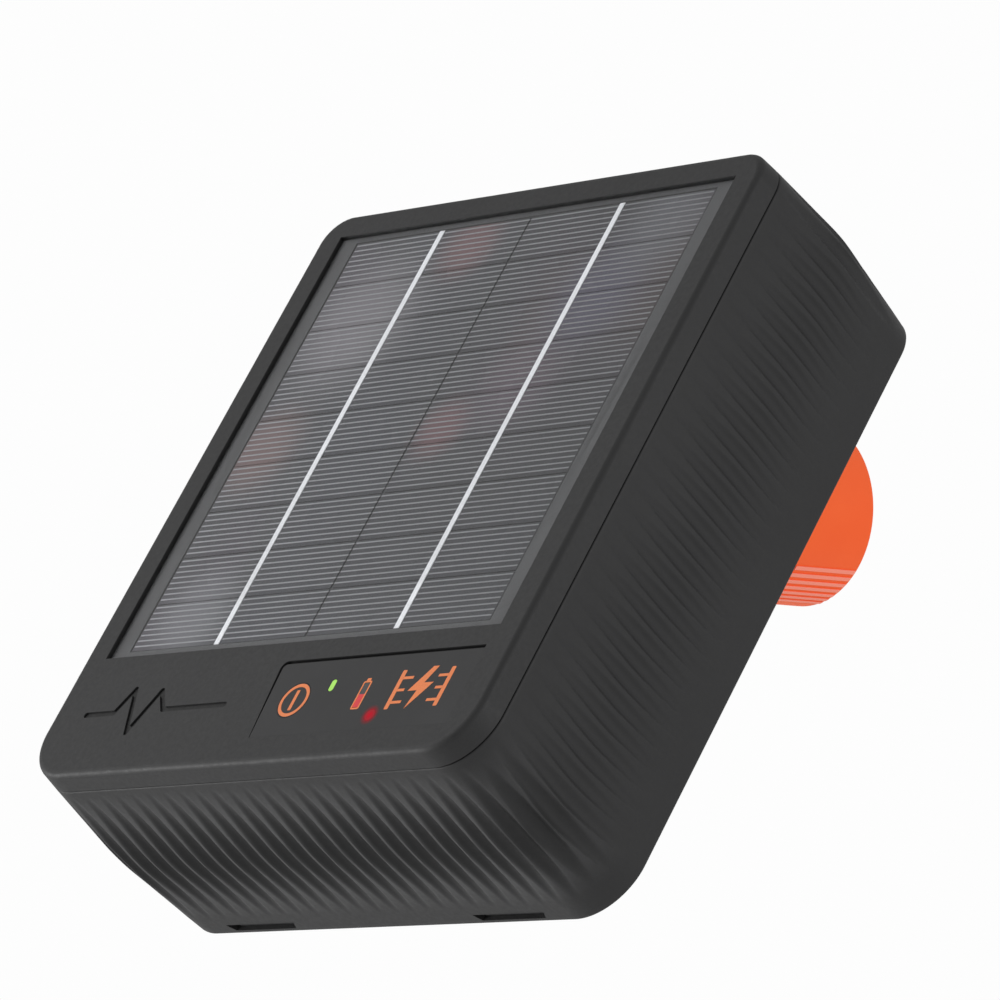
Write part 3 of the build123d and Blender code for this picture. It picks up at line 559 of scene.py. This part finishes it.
def prism_faces(poly, z0, z1, base):
    """Closed prism of a simple polygon (unit frame), appended to a running vertex list."""
    n = len(poly)
    v = [(x, y, z1) for x, y in poly] + [(x, y, z0) for x, y in poly]
    f = [list(range(base, base + n)), [base + n + i for i in reversed(range(n))]]
    for i in range(n):
        j = (i + 1) % n
        f.append([base + i, base + n + i, base + n + j, base + j])
    return v, f


def prisms(name, polys, z0, z1, mat, body="energizer", bevel=0.0):
    V, F = [], []
    for p in polys:
        v, f = prism_faces(p, z0, z1, len(V))
        V += v
        F += f
    ob = mesh_obj(name, Uarr(V), F, mat, body)
    if bevel:
        b = ob.modifiers.new("soft_edge", "BEVEL")
        b.width = bevel / 1000.0
        b.segments = 2
        b.limit_method = "ANGLE"
        b.angle_limit = math.radians(50)
    return ob


def ring(cx, cy, r0, r1, n=72):
    """Ring as two half rings so that each is a simple polygon."""
    out = []
    for s in (0, 1):
        a0 = math.pi * s
        pts = [(cx + r1 * math.cos(a0 + math.pi * i / (n // 2)), cy + r1 * math.sin(a0 + math.pi * i / (n // 2))) for i in range(n // 2 + 1)]
        pts += [(cx + r0 * math.cos(a0 + math.pi * i / (n // 2)), cy + r0 * math.sin(a0 + math.pi * i / (n // 2))) for i in reversed(range(n // 2 + 1))]
        out.append(pts)
    return out


def rrect(x0, x1, y0, y1, r, n=6):
    pts = []
    for cx_, cy_, a0 in ((x1 - r, y1 - r, 0), (x0 + r, y1 - r, 90), (x0 + r, y0 + r, 180), (x1 - r, y0 + r, 270)):
        for i in range(n + 1):
            a = math.radians(a0 + 90 * i / n)
            pts.append((cx_ + r * math.cos(a), cy_ + r * math.sin(a)))
    return pts


def frame_strip(outer, inner):
    """Two closed outlines with the same count turned into one frame of quads, as small convex quads."""
    n = len(outer)
    return [[outer[i], outer[(i + 1) % n], inner[(i + 1) % n], inner[i]] for i in range(n)]


# ----------------------------------------------------------------------------
# ribbed rear shell: one closed mesh, outer skin with scalloped grooves
# ----------------------------------------------------------------------------
PART_S = (-6.0, 76.0, -83.6, 83.1, 8.5, 13.5)
WAIST = (-30.9, 76.5, -86.45, 84.05, 9.5, 14.0)
BACK = (-58.55, 74.6, -85.6, 81.3, 10.6, 14.0)


def sec_poly(z):
    a, b = (PART_S, WAIST) if z >= WAIST[0] else (WAIST, BACK)
    t = (a[0] - z) / (a[0] - b[0])
    return np.array([p + (q - p) * t for p, q in zip(a[1:], b[1:])])


def sec(z):
    """Section with the waist eased over a few millimetres."""
    ks = np.linspace(-6.0, 6.0, 13)
    wts = 1 - np.abs(ks) / 6.5
    w = min(1.0, max(0.0, (abs(z + 6.0)) / 8.0), max(0.0, (abs(z + 58.55)) / 8.0))
    acc = sum(wt * sec_poly(z + k * w) for k, wt in zip(ks, wts)) / wts.sum()
    return acc


def path(sx):
    """Returns the waist arc position unchanged."""
    return sx


HB, HT = WAIST[1] - WAIST[5], WAIST[1] - WAIST[4]
RB, RT = WAIST[5], WAIST[4]
SIDE = WAIST[3] - WAIST[4] - WAIST[2] - WAIST[5]
LB, LT = RB * math.pi / 2, RT * math.pi / 2
HALF = HB + LB + SIDE + LT + HT        # bottom centre to top centre


def point(s, side, q):
    """Point and normal at waist arc length s from the bottom centre, on side +1/-1, for section q."""
    w, yb, yt, rt, rb = q
    if s <= HB:
        return side * s / HB * (w - rb), yb, 0.0, -1.0
    s -= HB
    if s <= LB:
        a = s / LB * math.pi / 2
        nx, ny = side * math.sin(a), -math.cos(a)
        return side * (w - rb) + rb * nx, yb + rb + rb * ny, nx, ny
    s -= LB
    if s <= SIDE:
        return side * w, yb + rb + s / SIDE * (yt - rt - yb - rb), float(side), 0.0
    s -= SIDE
    if s <= LT:
        a = s / LT * math.pi / 2
        nx, ny = side * math.cos(a), math.sin(a)
        return side * (w - rt) + rt * nx, yt - rt + rt * ny, nx, ny
    s -= LT
    return side * (1 - s / HT) * (w - rt), yt, 0.0, 1.0


PX, PY = 5.53, 5.18
stations = [(i + 0.5) * PX for i in range(12)]                              # bottom half
stations += [HB + RB * math.radians(a) for a in (24.5, 44.4, 64.4, 84.3)]
stations += [HB + LB + SIDE / 2 + (i - 13.5) * PY for i in range(28)]
stations += [HB + LB + SIDE + RT * math.radians(90 - a) for a in (78.5, 45.0, 12.4)]
stations += [HALF - (i + 0.5) * PX for i in range(12)]
stations = np.array(sorted(stations))

STEP = 0.36
ncol = int(round(HALF / STEP))
svals = np.linspace(0, HALF, ncol + 1)
columns = [(s, 1) for s in svals] + [(s, -1) for s in svals[-2:0:-1]]
RIB_R = 2.50
ZF, ZR = -7.4, -52.4


def groove_t(s):
    k = np.argmin(np.abs(stations - s))
    return s - stations[k]


def smax(x, k=0.10):
    """Soft max(0, x)."""
    return np.where(x > 12 * k, x, k * np.log1p(np.exp(np.clip(x / k, -60, 12))))


rows = [(-5.92, 0.42), (-5.97, 0.20), (-6.10, 0.05), (-6.32, 0.0)]
zz = np.concatenate([[-6.9], np.arange(-7.3, -57.4, -0.85)])
rows += [(float(z), 0.0) for z in zz]
rows += [(-57.75, 0.0), (-58.08, 0.07), (-58.33, 0.25), (-58.49, 0.50), (-58.55, 0.85)]
inner_rows = [(-58.55, 2.75), (-58.35, 3.0), (-45.0, 3.0), (-30.9, 3.0), (-18.0, 3.0), (-6.4, 3.0), (-6.10, 2.75)]

q_f, q_r = sec(ZF), sec(ZR)
chordF = np.array([point(s, sd, q_f) for s, sd in columns])
chordR = np.array([point(s, sd, q_r) for s, sd in columns])
tvals = np.array([groove_t(s) for s, _ in columns])
sag = np.where(np.abs(tvals) < RIB_R, RIB_R - np.sqrt(np.maximum(RIB_R ** 2 - tvals ** 2, 0)), RIB_R)
V = []
ridge = []
for z, inset in rows:
    q = sec(z)
    P = np.array([point(s, sd, q) for s, sd in columns])
    x, y = P[:, 0] - P[:, 2] * inset, P[:, 1] - P[:, 3] * inset
    rv = np.full(len(P), 0.5)
    if ZR < z < ZF:
        t = (ZF - z) / (ZF - ZR)
        C0 = chordF[:, :2] * (1 - t) + chordR[:, :2] * t
        h = ((P[:, :2] - C0) * P[:, 2:4]).sum(1)
        ends = min(1.0, (ZF - z) / 2.0, (z - ZR) / 2.0)
        g = smax(h * 1.12 - sag) * ends
        g = np.minimum(g, 1.9)
        x = x - P[:, 2] * g
        y = y - P[:, 3] * g
        # painted light for the ribs: under the box the ridge tops get painted highlight and the groove floors painted
        # shade; on the sides one wall of each groove gets a line of painted shade
        span = np.clip(g.max() / 0.8, 0, 1)
        low = np.clip(-P[:, 3], 0, 1)                     # 1 under the box, 0 on its sides
        flank = np.clip(1.6 - np.abs(tvals + 1.45) / 0.35, 0, 1) * (g > 0.12) * np.abs(P[:, 2])
        rv = 0.5 + span * (low * (0.5 - np.clip(g / 0.85, 0, 1)) - 0.55 * (1 - low) * flank)
    V.append(np.stack([x, y, np.full(len(x), z)], 1))
    ridge.append(rv)
for z, inset in inner_rows:
    q = sec(z)
    P = np.array([point(s, sd, q) for s, sd in columns])
    V.append(np.stack([P[:, 0] - P[:, 2] * inset, P[:, 1] - P[:, 3] * inset, np.full(len(P), z)], 1))
    # inner walls get painted shade
    ridge.append(np.full(len(P), -0.3))
nr, nc = len(V), len(columns)
V = Uarr(np.concatenate(V))
F = []
for r in range(nr):
    r2 = (r + 1) % nr
    for c in range(nc):
        c2 = (c + 1) % nc
        F.append((r * nc + c, r * nc + c2, r2 * nc + c2, r2 * nc + c))
shell = mesh_obj("ribbed_shell", V, F, RIBBED, "energizer", sharp=40)
# stores the painted highlight and shade values read by the ribbed material
ridge_shade_attr = shell.data.attributes.new("ridge", "FLOAT", "POINT")
ridge_shade_attr.data.foreach_set("value", np.concatenate(ridge).astype(np.float32))

# snap windows in the bottom wall, cut by two tapered blocks
cut_v, cut_f = [], []
for (a0, a1), (b0, b1) in (((-54.3, -30.4), (-52.6, -31.6)), ((30.4, 53.6), (31.8, 52.3))):
    base = len(cut_v)
    for yy in (-90.0, -79.0):
        cut_v += [(a0, yy, -54.9), (a1, yy, -54.9), (b1, yy, -57.1), (b0, yy, -57.1)]
    cut_f += [[base + i for i in (0, 1, 2, 3)], [base + i for i in (7, 6, 5, 4)]]
    for i in range(4):
        j = (i + 1) % 4
        cut_f.append([base + i, base + 4 + i, base + 4 + j, base + j])
cutter = mesh_obj("window_cutter", Uarr(cut_v), cut_f, HOUSING, "energizer", smooth=False)
bm_mod = shell.modifiers.new("windows", "BOOLEAN")
bm_mod.operation = "DIFFERENCE"
bm_mod.object = cutter
bm_mod.solver = "EXACT"
bpy.context.view_layer.update()
dg = bpy.context.evaluated_depsgraph_get()
cut_mesh = bpy.data.meshes.new_from_object(shell.evaluated_get(dg), depsgraph=dg)
shell.modifiers.clear()
shell.data = cut_mesh
shell.data.shade_smooth()
shell.data.set_sharp_from_angle(angle=math.radians(40))
bpy.data.objects.remove(cutter)
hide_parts("rear_shell")

# ----------------------------------------------------------------------------
# solar cells: printed fingers on every strip
# ----------------------------------------------------------------------------
fingers = []
for k in range(9):
    for j in range(8):
        y = 73.5 - 13.5 * k - 1.60 * j
        for x0, x1 in ((-60.9, -0.22), (0.22, 60.9)):
            fingers.append([(x0, y - 0.19), (x1, y - 0.19), (x1, y + 0.19), (x0, y + 0.19)])
prisms("cell_fingers", fingers, -1.26, -1.215, FINGER)

# ----------------------------------------------------------------------------
# printed icons
# ----------------------------------------------------------------------------
BX, BY = 10.2, -66.4
prisms("power_icon", ring(BX, BY, 3.62, 4.50) + [rrect(BX - 0.5, BX + 0.5, BY - 2.75, BY + 2.75, 0.15)],
       -0.055, -0.02, PRINT_ORANGE, body="button")
prisms("warning_halo", [[(39.3 + 3.0 * math.cos(a * math.pi / 24), -72.2 + 3.0 * math.sin(a * math.pi / 24)) for a in range(48)]],
       -0.052, -0.045, HALO)
o = rrect(31.42, 34.18, -70.30, -62.60, 0.45)
i_ = rrect(31.84, 33.76, -69.88, -63.02, 0.2)
bat = frame_strip(o, i_) + [rrect(32.15, 33.45, -62.65, -61.85, 0.2)]
bolt = [(52.6, -59.9), (47.9, -66.3), (50.9, -66.3), (49.7, -71.2), (55.2, -64.3), (52.1, -64.3), (54.4, -59.9)]
fence = [rrect(43.0, 44.3, -71.0, -60.4, 0.3), rrect(58.9, 60.2, -71.0, -60.4, 0.3)]
for y in (-62.6, -65.9, -69.2):
    fence.append([(44.2, y - 0.36), (47.6 if y != -65.9 else 46.6, y - 0.36), (47.6 if y != -65.9 else 46.6, y + 0.36), (44.2, y + 0.36)])
    fence.append([(55.8 if y != -65.9 else 56.6, y - 0.36), (59.0, y - 0.36), (59.0, y + 0.36), (55.8 if y != -65.9 else 56.6, y + 0.36)])
prisms("panel_icons", bat + [bolt] + fence, -0.055, -0.02, PRINT_ORANGE)

# ----------------------------------------------------------------------------
# power key's return spring: close end coils
# ----------------------------------------------------------------------------
def coil(name, cx_, cy_, z0, z1, rc, rw, turns, mat):
    n, k = int(turns * 40), 10
    V, F = [], []
    zs = []
    for i in range(n + 1):
        u = i / n * turns
        e = min(u, turns - u)
        zs.append(0.35 if e < 1.0 else 1.0)
    acc = np.concatenate([[0], np.cumsum((np.array(zs[1:]) + np.array(zs[:-1])) / 2)])
    acc = (z0 + rw) + acc / acc[-1] * (z1 - z0 - 2 * rw)
    for i in range(n + 1):
        a = 2 * math.pi * i / n * turns
        er = np.array([math.cos(a), math.sin(a), 0.0])
        for j in range(k):
            b = 2 * math.pi * j / k
            c = np.array([cx_, cy_, acc[i]]) + er * (rc + rw * math.cos(b)) + np.array([0, 0, rw * math.sin(b)])
            V.append(c)
    for i in range(n):
        for j in range(k):
            j2 = (j + 1) % k
            F.append((i * k + j, i * k + j2, (i + 1) * k + j2, (i + 1) * k + j))
    F += [tuple(range(k)), tuple(n * k + j for j in reversed(range(k)))]
    return mesh_obj(name, Uarr(V), F, mat)


spring = coil("key_spring", BX, BY, -14.33, -3.98, 5.3, 0.35, 5.5, MATS["spring_steel"])
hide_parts("button_spring")
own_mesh(spring)

# ----------------------------------------------------------------------------
# soft edges on carried-over CAD pieces
# ----------------------------------------------------------------------------
SOFT = {"post_bracket": 0.35, "clamp_jaw": 0.3, "battery_tray": 0.3, "wire_headers": 0.2, "heat_sink": 0.15, "transformer_core": 0.2,
        "storage_capacitor": 0.5}
for n, w in SOFT.items():
    b = NODES[n].modifiers.new("soft_edge", "BEVEL")
    b.width = w / 1000.0
    b.segments = 2
    b.limit_method = "ANGLE"
    b.angle_limit = math.radians(40)

# ----------------------------------------------------------------------------
# stage, light, camera
# ----------------------------------------------------------------------------
scene = bpy.context.scene
scene.view_settings.view_transform = "Standard"

fm = M("floor_mat")
fn = fm.noise(6.0, 3.0, 0.5)
fc = fm.ramp(fn, "Fac", [(0.3, (0.86, 0.86, 0.86)), (0.7, (0.90, 0.90, 0.90))])
fm.link(fc, "Color", fm.bsdf, "Base Color")
fm.set(Roughness=0.8)
f_tr = fm.add("ShaderNodeBsdfTransparent")
f_geo = fm.add("ShaderNodeNewGeometry")
f_mix = fm.add("ShaderNodeMixShader")
fm.link(f_geo, "Backfacing", f_mix, "Fac")
fm.nt.links.new(fm.bsdf.outputs[0], f_mix.inputs[1])
fm.nt.links.new(f_tr.outputs[0], f_mix.inputs[2])
fm.link(f_mix, "Shader", fm.out, "Surface")
me = bpy.data.meshes.new("floor")
me.from_pydata([(-6, -6, -0.62), (6, -6, -0.62), (6, 6, -0.62), (-6, 6, -0.62)], [], [(0, 1, 2, 3)])
me.materials.append(fm.mat)
floor = bpy.data.objects.new("floor", me)
scene.collection.objects.link(floor)

world = bpy.data.worlds.new("studio")
scene.world = world
world.use_nodes = True
wn = world.node_tree
wn.nodes.clear()
wo = wn.nodes.new("ShaderNodeOutputWorld")
lp = wn.nodes.new("ShaderNodeLightPath")
bg_cam = wn.nodes.new("ShaderNodeBackground")
bg_cam.inputs[0].default_value = (0.983, 0.983, 0.983, 1)
bg_env = wn.nodes.new("ShaderNodeBackground")
bg_env.inputs[0].default_value = (1, 1, 1, 1)
bg_env.inputs[1].default_value = 0.60
mixw = wn.nodes.new("ShaderNodeMixShader")
wn.links.new(lp.outputs["Is Camera Ray"], mixw.inputs[0])
wn.links.new(bg_env.outputs[0], mixw.inputs[1])
wn.links.new(bg_cam.outputs[0], mixw.inputs[2])
wn.links.new(mixw.outputs[0], wo.inputs[0])


def area(name, loc, target, size, power, size_y=None):
    L = bpy.data.lights.new(name, "AREA")
    L.energy = power
    L.size = size
    if size_y:
        L.shape = "RECTANGLE"
        L.size_y = size_y
    ob = bpy.data.objects.new(name, L)
    scene.collection.objects.link(ob)
    ob.location = loc
    d = Vector(target) - Vector(loc)
    ob.rotation_mode = "QUATERNION"
    ob.rotation_quaternion = d.to_track_quat("-Z", "Y")
    return ob


area("key", (-1.1, -1.1, 0.9), (0, -0.09, 0), 0.8, 5.0)
area("side", (1.7, 0.1, 0.25), (0, -0.05, 0), 0.8, 8.6)
area("low_left", (-1.0, -0.8, -0.24), (0, -0.1, -0.05), 0.4, 8.0)

cam_data = bpy.data.cameras.new("camera")
cam = bpy.data.objects.new("camera", cam_data)
scene.collection.objects.link(cam)
right, up, back = Vector((0.670, 0.7423, 0.0)), Vector((0.0733, -0.0662, 0.9951)), Vector((0.7387, -0.6668, -0.0988))
back.normalize()
right = (right - right.dot(back) * back).normalized()
up = back.cross(right).normalized()
m = Matrix((right, up, back)).transposed().to_4x4()
m.translation = Vector((1.1297, -1.0894, -0.1545))
cam.matrix_world = m
cam_data.sensor_width = 36.0
cam_data.lens = 241.2
cam_data.clip_start, cam_data.clip_end = 0.05, 50.0
scene.camera = cam
